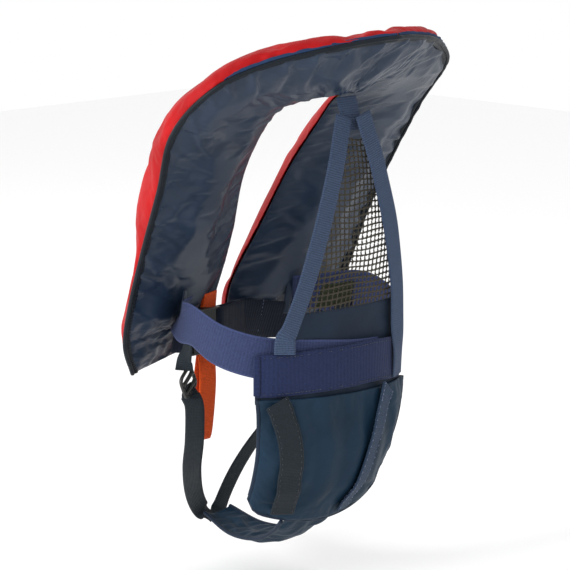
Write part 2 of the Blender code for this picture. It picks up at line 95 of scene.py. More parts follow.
class Shade:
    """A node material with a Principled shader and short helpers to feed it."""

    def __init__(self, name, roughness=0.6, metallic=0.0, sheen=0.0, specular=0.5):
        self.material = bpy.data.materials.new(name)
        self.material.use_nodes = True
        self.tree = self.material.node_tree
        self.shader = self.tree.nodes["Principled BSDF"]
        self.set("Roughness", roughness)
        self.set("Metallic", metallic)
        self.set("Sheen Weight", sheen)
        self.set("Specular IOR Level", specular)
        self.height = None

    def set(self, socket, value):
        self.shader.inputs[socket].default_value = value

    def node(self, kind, **inputs):
        made = self.tree.nodes.new(kind)
        for key, value in inputs.items():
            socket = made.inputs[key.replace("_", " ")]
            if isinstance(value, bpy.types.NodeSocket):
                self.tree.links.new(value, socket)
            else:
                socket.default_value = value
        return made

    def math(self, operation, a, b=0.0):
        made = self.tree.nodes.new("ShaderNodeMath")
        made.operation = operation
        for socket, value in zip(made.inputs, (a, b)):
            if isinstance(value, bpy.types.NodeSocket):
                self.tree.links.new(value, socket)
            else:
                socket.default_value = value
        return made.outputs[0]

    def place(self):
        return self.node("ShaderNodeTexCoord").outputs["Object"]

    def noise(self, scale, detail):
        return self.node("ShaderNodeTexNoise", Vector=self.place(), Scale=scale,
                         Detail=detail).outputs["Fac"]

    def ramp(self, factor, stops):
        made = self.node("ShaderNodeValToRGB", Fac=factor)
        while len(made.color_ramp.elements) < len(stops):
            made.color_ramp.elements.new(0.5)
        for element, (position, colour) in zip(made.color_ramp.elements, stops):
            element.position = position
            element.color = colour
        return made.outputs["Color"]

    def colour(self, factor, stops):
        self.tree.links.new(self.ramp(factor, stops), self.shader.inputs["Base Color"])

    def rough(self, factor, low, high):
        made = self.node("ShaderNodeMapRange", Value=factor)
        made.inputs["To Min"].default_value = low
        made.inputs["To Max"].default_value = high
        self.tree.links.new(made.outputs["Result"], self.shader.inputs["Roughness"])

    def bump(self, height, distance, strength=1.0):
        made = self.node("ShaderNodeBump", Height=height, Distance=distance, Strength=strength)
        if self.height is not None:
            self.tree.links.new(self.height, made.inputs["Normal"])
        self.height = made.outputs["Normal"]
        self.tree.links.new(self.height, self.shader.inputs["Normal"])


def shaded(colour, amount):
    return (*[min(1, c * amount) for c in colour[:3]], 1)


def cloth(name, colour, roughness, sheen=0.2, creases=0.35, specular=0.5):
    """Coated nylon: slow colour drift, a fine plain weave and small random creases."""
    made = Shade(name, sheen=sheen, specular=specular)
    made.set("Sheen Roughness", 0.4)
    drift = made.noise(22, 4)
    made.colour(drift, [(0.25, shaded(colour, 0.78)), (0.5, colour), (0.78, shaded(colour, 1.22))])
    made.rough(made.noise(60, 3), roughness - 0.07, roughness + 0.09)
    fold = made.noise(85, 2)
    made.bump(fold, 1.6 * MM, creases)
    split = made.node("ShaderNodeSeparateXYZ", Vector=made.place())
    warp = made.math("SINE", made.math("MULTIPLY", split.outputs["X"], 5200.0))
    weft = made.math("SINE", made.math("MULTIPLY", split.outputs["Z"], 5200.0))
    made.bump(made.math("MULTIPLY", warp, weft), 0.05 * MM, 0.5)
    return made.material


def webbing(name, colour, rib=2.0, roughness=0.72, contrast=0.35, half=None):
    """Woven webbing: cross ribs, warp ends, and, when half is given, a painted highlight along both
    edges.
    """
    made = Shade(name, roughness=roughness, sheen=0.05, specular=0.14)
    made.set("Sheen Roughness", 0.5)
    uv = made.node("ShaderNodeUVMap")
    uv.uv_map = "weave"
    split = made.node("ShaderNodeSeparateXYZ", Vector=uv.outputs["UV"])
    along = made.math("MULTIPLY", split.outputs["Y"], 2 * math.pi / (rib * MM))
    across = made.math("MULTIPLY", split.outputs["X"], 2 * math.pi / (1.5 * MM))
    shift = made.math("MULTIPLY", made.math("SINE", across), 1.1)
    ribs = made.math("SINE", made.math("ADD", along, shift))
    ends = made.math("SINE", across)
    height = made.math("ADD", made.math("MULTIPLY", ribs, 0.6), made.math("MULTIPLY", ends, 0.4))
    fuzz = made.noise(900, 2)
    mixed = made.math("ADD", made.math("MULTIPLY", height, contrast * 0.5), fuzz)
    # a lighter band along both edges: painted highlight
    if half:
        reach = made.math("ABSOLUTE", split.outputs["X"])
        rim = made.math("GREATER_THAN", reach, half - 1.3 * MM)
        mixed = made.math("ADD", mixed, made.math("MULTIPLY", rim, 0.32))
    made.colour(mixed, [(0.15, shaded(colour, 0.55)), (0.5, colour), (0.9, shaded(colour, 1.5))])
    made.rough(made.noise(200, 2), roughness - 0.08, roughness + 0.08)
    made.bump(height, 0.28 * MM, 0.8)
    made.bump(made.noise(1800, 2), 0.12 * MM, 0.4)
    return made.material


def plastic(name, colour, roughness=0.42):
    """Moulded plastic with a fine spark-eroded grain and slight handling wear."""
    made = Shade(name, specular=0.5)
    wear = made.noise(90, 5)
    made.colour(wear, [(0.3, shaded(colour, 0.8)), (0.62, colour), (0.85, shaded(colour, 1.5))])
    made.rough(wear, roughness - 0.08, roughness + 0.12)
    made.bump(made.noise(2600, 2), 0.05 * MM, 0.5)
    return made.material


def steel(name):
    """Zinc-plated steel, brushed round the axis with a little dulling."""
    made = Shade(name, metallic=1.0, roughness=0.3)
    dull = made.noise(70, 4)
    made.colour(dull, [(0.3, srgb(150, 152, 150)), (0.7, srgb(205, 206, 204))])
    made.rough(made.noise(400, 3), 0.24, 0.42)
    made.bump(made.noise(900, 2), 0.03 * MM, 0.4)
    return made.material


def thread(name, colour):
    made = Shade(name, roughness=0.6, sheen=0.2)
    made.colour(made.noise(700, 2), [(0.3, shaded(colour, 0.7)), (0.7, shaded(colour, 1.2))])
    made.bump(made.noise(2500, 1), 0.08 * MM, 0.6)
    return made.material


RED = cloth("red_cover_cloth", srgb(160, 14, 18), 0.6, sheen=0.0, creases=0.55, specular=0.14)
LINING = cloth("navy_lining_cloth", srgb(31, 45, 64), 0.36, sheen=0.0, creases=0.05, specular=0.32)
PIPING = cloth("piping_cloth", srgb(14, 22, 30), 0.5, sheen=0.0, creases=0.5, specular=0.2)
CLOSURE = cloth("closure_cloth", srgb(36, 54, 84), 0.8, sheen=0.0, creases=0.8, specular=0.12)
PANEL = cloth("seat_cloth", srgb(20, 42, 60), 0.55, sheen=0.0, creases=0.5, specular=0.16)
BAND = cloth("band_cloth", srgb(26, 38, 54), 0.6, sheen=0.02, creases=0.3, specular=0.15)
LABEL = cloth("label_cloth", srgb(54, 60, 44), 0.7, sheen=0.0, creases=0.2, specular=0.15)
BLADDER = cloth("bladder_cloth", srgb(232, 190, 40), 0.45, creases=0.5)
BELT = webbing("belt_webbing", srgb(48, 57, 90), rib=3.2, half=20 * MM)
# the front belt is the same navy webbing as the back belt, made darker here as painted shade on its body
# side
FRONT_BELT_PAINTED_SHADE = webbing("front_belt_painted_shade_webbing", srgb(24, 30, 44), rib=3.2, contrast=0.25)
SLEEVE = webbing("sleeve_webbing", srgb(30, 40, 72), rib=4.2, contrast=0.25)
YOKE = webbing("yoke_webbing", srgb(56, 70, 94), rib=2.2, contrast=0.85)
BLACK_WEB = webbing("black_webbing", srgb(26, 34, 40), rib=1.8, roughness=0.6)
SEAT_WEB = webbing("seat_webbing", srgb(36, 54, 76), rib=2.2, contrast=0.5)
ORANGE_WEB = webbing("orange_webbing", srgb(228, 84, 28), rib=1.6)
NET = cloth("net_cord", srgb(66, 62, 54), 0.75, sheen=0.0, creases=0.2, specular=0.15)
BLACK = plastic("black_plastic", srgb(34, 36, 33))
YELLOW = plastic("yellow_plastic", srgb(235, 196, 40))
RED_PLASTIC = plastic("red_plastic", srgb(205, 30, 36))
ORANGE_PLASTIC = plastic("orange_plastic", srgb(230, 96, 30))
STEEL = steel("plated_steel")
DARK_THREAD = thread("dark_thread", srgb(30, 36, 52))
PALE_THREAD = thread("pale_thread", srgb(120, 130, 165))
ORANGE_THREAD = thread("orange_thread", srgb(240, 130, 60))


# ---------------------------------------------------------------- mesh helpers

def millimetres(points):
    return [Vector(p) * MM for p in points]


def curve_at(points, place):
    """The point at a place from 0 to 1 on a Catmull-Rom curve through the given points."""
    ends = [points[0] * 2 - points[1], *points, points[-1] * 2 - points[-2]]
    at = place * (len(points) - 1)
    span = min(int(at), len(points) - 2)
    t = at - span
    a, b, c, d = ends[span:span + 4]
    return 0.5 * (2 * b + (c - a) * t + (2 * a - 5 * b + 4 * c - d) * t * t
                  + (3 * b - a - 3 * c + d) * t * t * t)


def smooth_path(points, count):
    return [curve_at(points, step / (count - 1)) for step in range(count)]


def grid_faces(rows, columns, flip=False):
    """Faces between the rows of a sheet of points."""
    faces = []
    for r in range(rows - 1):
        for c in range(columns - 1):
            a = r * columns + c
            face = (a, a + 1, a + columns + 1, a + columns)
            faces.append((face[0], *reversed(face[1:])) if flip else face)
    return faces


def loft_faces(rings, sides):
    """Faces between rings of points, with a cap at each end."""
    faces = []
    for r in range(rings - 1):
        for k in range(sides):
            n = (k + 1) % sides
            faces.append((r * sides + k, r * sides + n, (r + 1) * sides + n, (r + 1) * sides + k))
    faces.append(tuple(reversed(range(sides))))
    faces.append(tuple(range((rings - 1) * sides, rings * sides)))
    return faces


def circle(sides):
    return [2 * math.pi * k / sides for k in range(sides)]


def mesh_object(name, points, faces, material, uvs=None):
    data = bpy.data.meshes.new(name)
    data.from_pydata([tuple(p) for p in points], [], faces)
    data.materials.append(material)
    if uvs is not None:
        layer = data.uv_layers.new(name="weave")
        for loop in data.loops:
            layer.data[loop.index].uv = uvs[loop.vertex_index]
    data.shade_smooth()
    made = bpy.data.objects.new(name, data)
    bpy.context.scene.collection.objects.link(made)
    return made


def bake_modifiers(piece):
    """Turn a piece's modifiers into plain mesh."""
    bpy.context.view_layer.update()
    shown = piece.evaluated_get(bpy.context.evaluated_depsgraph_get())
    data = bpy.data.meshes.new_from_object(shown, preserve_all_data_layers=True,
                                           depsgraph=bpy.context.evaluated_depsgraph_get())
    piece.modifiers.clear()
    piece.data = data
    return piece


def sheet_object(name, rows, material, thick, levels=0):
    """A cloth sheet through rows of points, with its real thickness."""
    points = [p for row in rows for p in row]
    made = mesh_object(name, points, grid_faces(len(rows), len(rows[0])), material)
    if levels:
        finer = made.modifiers.new("finer", "SUBSURF")
        finer.levels = finer.render_levels = levels
    shell = made.modifiers.new("cloth", "SOLIDIFY")
    shell.thickness = thick
    shell.offset = 0.0
    return bake_modifiers(made)


def outward(piece, merge=0.0):
    """Turn a mesh's faces outward, after merging points closer than merge."""
    form = bmesh.new()
    form.from_mesh(piece.data)
    if merge:
        bmesh.ops.remove_doubles(form, verts=form.verts, dist=merge)
    bmesh.ops.recalc_face_normals(form, faces=form.faces)
    form.to_mesh(piece.data)
    form.free()


def webbing_piece(name, path, across, width, thick, material, count=80, ripple=0.0):
    """Webbing with rounded edges along a smooth path; across gives its width direction."""
    centre = smooth_path(millimetres(path), count)
    sides = smooth_path([Vector(a) for a in across], count)
    strips = 10
    points, uvs, profile = [], [], []
    travelled = 0.0
    for k in range(strips + 1):
        profile.append((k / strips - 0.5, 0.5))
    profile.append((0.5 + 0.35 * thick / width, 0.0))
    for k in range(strips, -1, -1):
        profile.append((k / strips - 0.5, -0.5))
    profile.append((-0.5 - 0.35 * thick / width, 0.0))
    ring = len(profile)
    for r, point in enumerate(centre):
        before, after = centre[max(r - 1, 0)], centre[min(r + 1, count - 1)]
        along = (after - before).normalized()
        side = (sides[r] - along * sides[r].dot(along)).normalized()
        normal = along.cross(side).normalized()
        if r:
            travelled += (point - centre[r - 1]).length
        wave = ripple * math.sin(travelled * 95 + 0.7) * MM
        for u, h in profile:
            fat = 0.82 if abs(u) > 0.49 else 1.0
            points.append(point + side * width * u + normal * (h * thick * fat + wave))
            uvs.append((u * width, travelled))
    made = mesh_object(name, points, loft_faces(count, ring), material, uvs)
    outward(made)
    return made


def webbing_rows(path, across, rows, thick, count=60):
    """Lines for stitches along webbing: each row is its place across, in metres."""
    centre = smooth_path(millimetres(path), count)
    sides = smooth_path([Vector(a) for a in across], count)
    lines = []
    for place in rows:
        for face in (1, -1):
            line, normals = [], []
            for r in range(count):
                before, after = centre[max(r - 1, 0)], centre[min(r + 1, count - 1)]
                along = (after - before).normalized()
                side = (sides[r] - along * sides[r].dot(along)).normalized()
                normal = along.cross(side).normalized() * face
                line.append(centre[r] + side * place + normal * thick / 2)
                normals.append(normal)
            for k in range(0, len(line) - 1, 3):
                lines.append((line[k:k + 4], normals[min(k + 1, len(normals) - 1)]))
    return lines


def trim(piece):
    """A sewn-on piece with no solid of its own, which stays with the jacket."""
    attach(piece, "root")


def sew(name, lines, material):
    trim(stitches(name, lines, material))


def stitches(name, lines, material, length=2.6 * MM, gap=1.2 * MM, radius=0.32 * MM):
    """Short thread stitches laid along lines of points: (points, normal) pairs."""
    points, faces = [], []
    for line, normal in lines:
        normal = Vector(normal).normalized()
        total = 0.0
        for a, b in zip(line, line[1:]):
            run = (b - a).length
            if run < 1e-6:
                continue
            step = (b - a) / run
            side = step.cross(normal).normalized() * radius
            at = -total % (length + gap)
            while at + length * 0.5 < run:
                end = min(at + length, run)
                start_point, end_point = a + step * at, a + step * end
                middle = (start_point + end_point) / 2 + normal * radius * 1.5
                base = len(points)
                for place, spread in ((start_point, 0.5), (middle, 1.0), (end_point, 0.5)):
                    points.extend((place - side * spread, place + normal * radius * spread,
                                   place + side * spread, place - normal * radius * spread))
                for s in (0, 4):
                    for k in range(4):
                        n = (k + 1) % 4
                        faces.append((base + s + k, base + s + n, base + s + 4 + n,
                                      base + s + 4 + k))
                faces.append((base + 3, base + 2, base + 1, base))
                faces.append((base + 8, base + 9, base + 10, base + 11))
                at += length + gap
            total += run
    return mesh_object(name, points, faces, material)


def stand_for(piece, nodes, body="root"):
    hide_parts(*nodes)
    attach(piece, body)
    return piece


def swell(piece, pins, cap, pressure, slack=0.03, frames=18):
    """Let a cloth piece settle between its pinned points, moving no point beyond the cap."""
    start = [v.co.copy() for v in piece.data.vertices]
    group = piece.vertex_groups.new(name="pin")
    for index, weight in pins.items():
        group.add([index], weight, "REPLACE")
    rag = piece.modifiers.new("rag", "CLOTH")
    rag.settings.vertex_group_mass = "pin"
    rag.settings.quality = 6
    rag.settings.mass = 0.12
    rag.settings.tension_stiffness = 18
    rag.settings.compression_stiffness = 18
    rag.settings.shear_stiffness = 6
    rag.settings.bending_stiffness = 0.25
    rag.settings.tension_damping = 12
    rag.settings.compression_damping = 12
    rag.settings.air_damping = 4
    rag.settings.shrink_min = -slack
    rag.settings.use_pressure = True
    rag.settings.uniform_pressure_force = pressure
    rag.settings.effector_weights.gravity = 0.0
    rag.collision_settings.use_collision = False
    rag.point_cache.frame_start = 1
    rag.point_cache.frame_end = frames
    for step in range(1, frames + 1):
        bpy.context.scene.frame_set(step)
    bpy.context.view_layer.update()
    shown = piece.evaluated_get(bpy.context.evaluated_depsgraph_get())
    settled = [v.co.copy() for v in shown.data.vertices]
    piece.modifiers.remove(rag)
    for vertex, old, new in zip(piece.data.vertices, start, settled):
        move = new - old
        if move.length > cap:
            move *= cap / move.length
        vertex.co = old + move
    piece.vertex_groups.clear()
    bpy.context.scene.frame_set(1)
    return piece


# ---------------------------------------------------------------- collar

def power(value, exponent=SECTION_POWER):
    return math.copysign(abs(value) ** exponent, value)


def smooth_share(value, start, end):
    """0 before start, 1 after end, and a smooth step between them."""
    share = min(1, max(0, (value - start) / (end - start)))
    return share * share * (3 - 2 * share)


def collar_frame(place):
    """The collar's frame at a place from 0 at the left foot, through 1 at the nape, to 2."""
    mirror = place > 1
    along_half = 2 - place if mirror else place
    inner, outer = [], []
    for shift in (-0.004, 0.0, 0.004):
        at = min(max(along_half + shift, 0), 1)
        inner.append(curve_at(millimetres(station[0] for station in COLLAR_STATIONS), at))
        outer.append(curve_at(millimetres(station[1] for station in COLLAR_STATIONS), at))
    centre = (inner[1] + outer[1]) / 2
    along = (inner[2] + outer[2] - inner[0] - outer[0]).normalized()
    settle = max(0.0, 1 - (1 - along_half) / 0.05)
    along = (along * (1 - settle) + Vector((-1, 0, 0)) * settle).normalized()
    across = (outer[1] - inner[1]).normalized()
    forward = across.cross(along).normalized()
    half = (outer[1] - inner[1]).length / 2
    depth = LOBE_DEPTH + (NECK_DEPTH - LOBE_DEPTH) * smooth_share(along_half, 0.36, 0.66)
    foot = min(1, along_half / 0.14)
    depth *= 0.12 + 0.88 * math.sqrt(1 - (1 - foot) ** 2)
    pinch = math.exp(-((1 - along_half) / 0.022) ** 2)
    depth *= 1 - 0.3 * pinch
    half *= 1 - 0.035 * pinch
    if mirror:
        flip = Vector((-1, 1, 1))
        centre, across, forward = centre * flip, across * flip, forward * flip
    return centre, across, forward, half, depth


def cover_point(parts, place, turn):
    centre, across, forward, half, depth = parts
    body = smooth_share(min(place, 2 - place), 0.14, 0.5)
    inner = math.cos(turn) < 0
    wide = 0.0 if inner else 0.8
    slack = 1.15 if inner else 1.6
    exponent = slack + (SECTION_POWER + 0.12 - slack) * body
    hang = SIDE_ARC * wide
    reach = half / power(math.cos(hang), exponent)
    rise = depth / (1 + power(math.sin(hang), exponent))
    turn = max(-hang, min(math.pi + hang, turn))
    height = rise * (power(math.sin(turn), exponent) + power(math.sin(hang), exponent))
    point = centre + across * reach * power(math.cos(turn), exponent) + forward * height
    return apart(point, place)


def apart(point, place):
    """Keep the two lobes from passing through each other at the middle."""
    if abs(place - 1) < 0.12:
        return point
    if place < 1:
        point.x = max(point.x, LOBE_CLEAR)
    else:
        point.x = min(point.x, -LOBE_CLEAR)
    return point


def pucker(run, distance, seed, pitch=15 * MM):
    """Gathers square to a seam: sharp curved ridges that fade away from it."""
    wander = noise.noise(Vector((run * 18, seed, 0))) * 1.4
    curve = 900 * distance * distance + 18 * distance
    ridge = 1 - abs(math.sin(math.pi * run / pitch + wander * 2.2 + curve))
    strength = 0.25 + 1.5 * abs(noise.noise(Vector((run * 31, seed + 5, 0))))
    reach = 24 * MM + 16 * MM * noise.noise(Vector((run * 24, seed + 9, 2)))
    return (ridge ** 2.2 - 0.3) * strength * math.exp(-(distance / reach) ** 2)


TAIL_CREASES = (0.083, 0.118)   # folds across each lobe just above its foot


def lining_height(run, place, side, width):
    """How far the lining stands out from its plain bowed form."""
    inner_gap = (side + 1) / 2 * width
    outer_gap = (1 - side) / 2 * width
    height = 8.0 * MM * pucker(run, outer_gap, 3.0, pitch=22 * MM)
    height += 3.0 * MM * pucker(run + 0.4, inner_gap, 11.0, pitch=24 * MM)
    slow = noise.fractal(Vector((run * 7, side * 1.1, 4.0)), 1.0, 2.1, 2)
    height += 1.2 * MM * slow
    seam_fade = min(1, min(inner_gap, outer_gap) / (6 * MM))
    for crease in TAIL_CREASES:
        bend = crease + 0.006 * side
        half_place = min(place, 2 - place)
        height -= 2.6 * MM * math.exp(-((half_place - bend) / 0.009) ** 2)
    return height * seam_fade


def collar_run(rows):
    """Distance along the middle of the collar at each row."""
    places = [2 * r / (rows - 1) for r in range(rows)]
    frames = [collar_frame(p) for p in places]
    run = [0.0]
    for a, b in zip(frames, frames[1:]):
        run.append(run[-1] + (b[0] - a[0]).length)
    return places, frames, run


def make_lining():
    rows_count, columns = 521, 33
    places, frames, run = collar_run(rows_count)
    rows = []
    for place, parts, travelled in zip(places, frames, run):
        centre, across, forward, half, depth = parts
        nape = math.exp(-((place - 1) / 0.02) ** 2)
        row = []
        for c in range(columns):
            side = 1 - 2 * c / (columns - 1)
            plump = 5 + 7 * smooth_share(min(place, 2 - place), 0.2, 0.42)
            bow = plump * MM * (1 - side ** 4) * depth / LOBE_DEPTH * (1 - nape)
            bow += lining_height(travelled, place, side, 2 * half) * (1 - 0.7 * nape)
            row.append(centre + across * (half - 0.6 * MM) * side - forward * bow)
        rows.append(row)
    points = [p for row in rows for p in row]
    piece = mesh_object("lining", points, grid_faces(rows_count, columns, flip=True), LINING)
    pins = {}
    for r in range(rows_count):
        for c in range(columns):
            edge = min(c, columns - 1 - c)
            fold = min(abs(min(places[r], 2 - places[r]) - crease) for crease in TAIL_CREASES)
            if edge == 0 or r in (0, rows_count - 1) or abs(places[r] - 1) < 0.004:
                pins[r * columns + c] = 1.0
            elif fold < 0.004:
                pins[r * columns + c] = 0.6
    swell(piece, pins, cap=6 * MM, pressure=1.3)
    finish_cloth(piece, 0.9 * MM, 1)
    stand_for(piece, ["lining_left", "lining_right"])


def finish_cloth(piece, thick, levels):
    """Thickness and one smoothing step, made part of the mesh."""
    shell = piece.modifiers.new("cloth", "SOLIDIFY")
    shell.thickness = thick
    shell.offset = 0.0
    if levels:
        finer = piece.modifiers.new("finer", "SUBSURF")
        finer.levels = finer.render_levels = levels
    bake_modifiers(piece)
    piece.data.shade_smooth()


def make_cover():
    rows_count, columns = 301, 37
    places, frames, run = collar_run(rows_count)
    points, pins = [], {}
    sweep = math.pi + 2 * SIDE_ARC
    for r, (place, parts, travelled) in enumerate(zip(places, frames, run)):
        depth_share = parts[4] / LOBE_DEPTH
        for c in range(columns):
            turn = -SIDE_ARC + sweep * c / (columns - 1)
            point = cover_point(parts, place, turn)
            middle = parts[0] + parts[2] * parts[4] * 0.45
            out = point - middle
            out = (out - parts[2] * min(0, out.dot(parts[2]))).normalized()
            near_outer = c / (columns - 1) * 170 * MM
            near_inner = (1 - c / (columns - 1)) * 170 * MM
            lift = 3.2 * MM * pucker(travelled, near_outer, 21.0, pitch=15 * MM)
            lift += 2.8 * MM * pucker(travelled, near_inner, 27.0, pitch=19 * MM)
            lift += 2.2 * MM * noise.fractal(Vector((travelled * 10, c * 0.16, 8.0)), 0.8, 2.1, 3)
            fade = min(1, c / 4, (columns - 1 - c) / 4) * depth_share
            # the left foot is slack; the inflator fills the right one
            low = 1 - smooth_share(place, 0.16, 0.42) if place < 1 else 0.0
            around = c / (columns - 1)
            tuck = 0.5 * MM * smooth_share(around, 0.5, 0.95)
            tuck -= 2.0 * MM * low * smooth_share(1 - around, 0.5, 0.95)
            ahead = 3.0 * MM * smooth_share(around, 0.7, 0.95) * depth_share
            shift = out * max(lift, 0.4 * MM) * fade + parts[1] * tuck + parts[2] * ahead
            moved = apart(point + shift, place)
            points.append(moved)
            if c in (0, columns - 1) or r in (0, rows_count - 1) or abs(place - 1) < 0.004:
                pins[len(points) - 1] = 1.0
    piece = mesh_object("cover", points, grid_faces(rows_count, columns), RED)
    swell(piece, pins, cap=4 * MM, pressure=0.5)
    for vertex in piece.data.vertices:
        place = places[vertex.index // columns]
        vertex.co = apart(vertex.co.copy(), place)
    finish_cloth(piece, 0.8 * MM, 1)
    stand_for(piece, ["cover_left", "cover_right"])


def seam_line(rows_count, reach, back):
    """Points along the outer seam, set out and back from it."""
    line = []
    for r in range(rows_count):
        place = 2 * r / (rows_count - 1)
        centre, across, forward, half, depth = collar_frame(place)
        wobble = 0.5 * MM * noise.noise(Vector((place * 60, 1.0, 0)))
        line.append(centre + across * (half + reach + wobble) - forward * (back + wobble))
    return line


def tube(name, points, radius, material, sides=10):
    return mesh_object(name, *strand(points, [radius] * len(points), sides), material)


def make_piping():
    piece = tube("piping", seam_line(360, 0.4 * MM, 1.5 * MM), 2.2 * MM, PIPING)
    stand_for(piece, ["outer_piping"])
    tape = []
    for r in range(721):
        place = 2 * r / 720
        centre, across, forward, half, depth = collar_frame(place)
        low = 1 - smooth_share(min(place, 2 - place), 0.25, 0.45)
        row = []
        for c in range(6):
            inward = (0.5 + 1.35 * c) * MM
            gather = 0.5 + 0.5 * math.sin(r * 2.1 + 2 * noise.noise(Vector((r * 0.13, 0, 5))))
            lift = 1.2 + 1.3 * math.sin(math.pi * c / 5) + 1.1 * low * gather * (c / 5)
            row.append(centre + across * (half - inward) - forward * lift * MM)
        tape.append(row)
    piece = sheet_object("seam_tape", tape, PIPING, 0.9 * MM)
    trim(piece)


def make_closure():
    """The wavy hook-and-loop flap over the shoulders and nape, in two halves."""
    for side in ("left", "right"):
        rows = []
        for r in range(90):
            half_place = 0.70 + 0.298 * r / 89
            place = half_place if side == "left" else 2 - half_place
            parts = collar_frame(place)
            taper = min(1, r / 8)
            row = []
            for c in range(6):
                turn = -0.12 + (0.1 * taper + 0.02) * c / 5
                point = cover_point(parts, place, turn)
                out = (parts[1] * math.cos(turn) + parts[2] * math.sin(turn) * 0.6).normalized()
                wave = noise.noise(Vector((half_place * 55, c * 0.5, 3.0 if side == "left" else 7.0)))
                lift = 1.6 * MM + 1.5 * MM * wave * c / 5
                row.append(point + out * lift)
            rows.append(row)
        piece = sheet_object("closure_flap_" + side, rows, CLOSURE, 1.1 * MM)
        stand_for(piece, ["closure_strip_" + side])


# ---------------------------------------------------------------- belts

BACK_BELT = [(78, -66, 24), (103, -40, 23), (120, -5, 27), (122, 30, 15), (108, 58, 6),
             (84, 77, 0.5), (45, 92, -4)]
BACK_BELT_RIGHT = [(-45, 92, -13), (-84, 77, -8), (-108, 58, 3), (-122, 30, 15), (-120, -5, 27),
                   (-103, -40, 23), (-78, -66, 24)]
LEAN = (0, 0.33, 1)


def mirrored(points):
    return [(-x, y, z) for x, y, z in points]


def make_belts():
    path = BACK_BELT + [(0, 97, -10)] + BACK_BELT_RIGHT
    across = [(-0.34, 0.42, 0.84), (-0.05, 0.12, 1)] + [(0, 0, 1)] * (len(path) - 4)
    across += [(0.05, 0.12, 1), (0.34, 0.42, 0.84)]
    belt = webbing_piece("back_belt_webbing", path, across, 40 * MM, 1.9 * MM, BELT, count=220,
                         ripple=0.25)
    stand_for(belt, ["back_belt"])
    # both front belt pieces take the darker webbing: painted shade
    front = [(-86, -75.5, -9), (-58, -82, -6), (-30, -82.5, -2), (-5, -79, 0), (13, -76.4, 0),
             (22.5, -75.6, 0), (26.6, -71, 0), (22.5, -66.6, 0), (10, -70, 0), (-4, -74.5, 0),
             (-20, -79, 0)]
    across = [LEAN, LEAN, (0, 0.15, 1)] + [(0, 0, 1)] * 8
    piece = webbing_piece("front_belt_painted_shade_webbing", front, across, 42 * MM, 1.8 * MM,
                          FRONT_BELT_PAINTED_SHADE, count=160)
    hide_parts("front_belt_right", "adjuster_web")
    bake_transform(piece)
    left = [(79, -77, 0), (73, -75.2, 0), (69, -72.4, 0), (66.9, -71, 0)]
    across = [(0, 0.3, 1), (0, 0.2, 1), (0, 0.1, 1), (0, 0, 1)]
    piece = webbing_piece("front_belt_left_webbing", left, across, 39.4 * MM, 1.8 * MM,
                          FRONT_BELT_PAINTED_SHADE, count=16)
    stand_for(piece, ["front_belt_left"])
    sleeve = [(104, 67.5, -14), (87, 81, -14), (55, 95, -13), (15, 103, -13), (-20, 103, -13),
              (-50, 97.5, -16), (-77, 85.5, -20)]
    piece = webbing_piece("belt_sleeve_webbing", sleeve, [(0, 0, 1)] * len(sleeve), 41 * MM,
                          2.2 * MM, SLEEVE, count=120, ripple=0.3)
    stand_for(piece, ["belt_sleeve"])
    lines = webbing_rows(sleeve, [(0, 0, 1)] * len(sleeve), (-18 * MM, 18 * MM), 2.2 * MM)
    sew("sleeve_stitches", lines, DARK_THREAD)
    turned = [(105.2, 68.6, -33), (105.4, 68.8, -14), (105.2, 68.6, 5.5)]
    hem = webbing_piece("sleeve_hem", turned, [(0.8, -0.6, 0)] * 3, 5 * MM, 2.6 * MM, SLEEVE,
                        count=24)
    trim(hem)
    make_belt_seams()


def make_belt_seams():
    """The slanted welt where each end of the back belt is sewn into the lining."""
    for side, sign in (("left", 1), ("right", -1)):
        line = [(76.5 * sign, -75.5, -1), (76 * sign, -69, 20), (76.5 * sign, -61.5, 49)]
        welt = webbing_piece("belt_welt_" + side, line, [(0.9 * sign, 0.35, -0.1)] * 3, 7 * MM,
                             2.2 * MM, LINING, count=30)
        trim(welt)
    rows = []
    for x, y, lean in ((-47, -81.0, 0.2475), (-64, -80.9, 0.33)):
        line = [Vector((x, y + z * lean, z)) * MM for z in range(-18, 19, 4)]
        rows.append((line, (0, 1, -0.3)))
    sew("front_belt_stitches", rows, PALE_THREAD)


# ---------------------------------------------------------------- yoke

YOKE_LEFT = [(10, 91.5, 230), (32, 97, 165), (57, 95, 90), (77.5, 89, 36), (83.5, 86, 22),
             (84.5, 85.5, 7)]
YOKE_RIGHT = [(-9, 98, 231), (-24, 104, 180), (-43, 104, 118), (-56, 100.5, 60), (-61, 97.5, 14),
              (-63, 96.5, -12), (-64, 94.5, -36)]


def at_height(path, height):
    """The point of a falling path (mm) at a height in mm, in metres."""
    for high, low in zip(path, path[1:]):
        if high[2] >= height >= low[2]:
            place = (high[2] - height) / (high[2] - low[2])
            return Vector(high).lerp(Vector(low), place) * MM
    return Vector(path[-1]) * MM


def yoke_point(place, height, inside):
    """A point between the yoke straps: place 0 on the left strap to 1 on the right."""
    left = at_height(YOKE_LEFT, height)
    right = at_height(YOKE_RIGHT, height)
    bulge = 9 * MM * 4 * place * (1 - place) * (left - right).length / (150 * MM)
    return left.lerp(right, place) + Vector((0, bulge - inside, 0))


def strand(points, radii, sides=6):
    """A round strand whose thickness changes along it; returns points and faces."""
    rings = []
    for r, point in enumerate(points):
        before, after = points[max(r - 1, 0)], points[min(r + 1, len(points) - 1)]
        turn = (after - before).normalized().to_track_quat("Z", "Y").to_matrix()
        for angle in circle(sides):
            rings.append(point + turn @ Vector((math.cos(angle), math.sin(angle), 0)) * radii[r])
    return rings, loft_faces(len(points), sides)


def joined(name, parts, material):
    points, faces = [], []
    for some, shapes in parts:
        base = len(points)
        points.extend(some)
        faces.extend(tuple(base + k for k in face) for face in shapes)
    return mesh_object(name, points, faces, material)


NET_PITCH = 5.6 * MM
NET_TOP, NET_FOOT = 206, 43


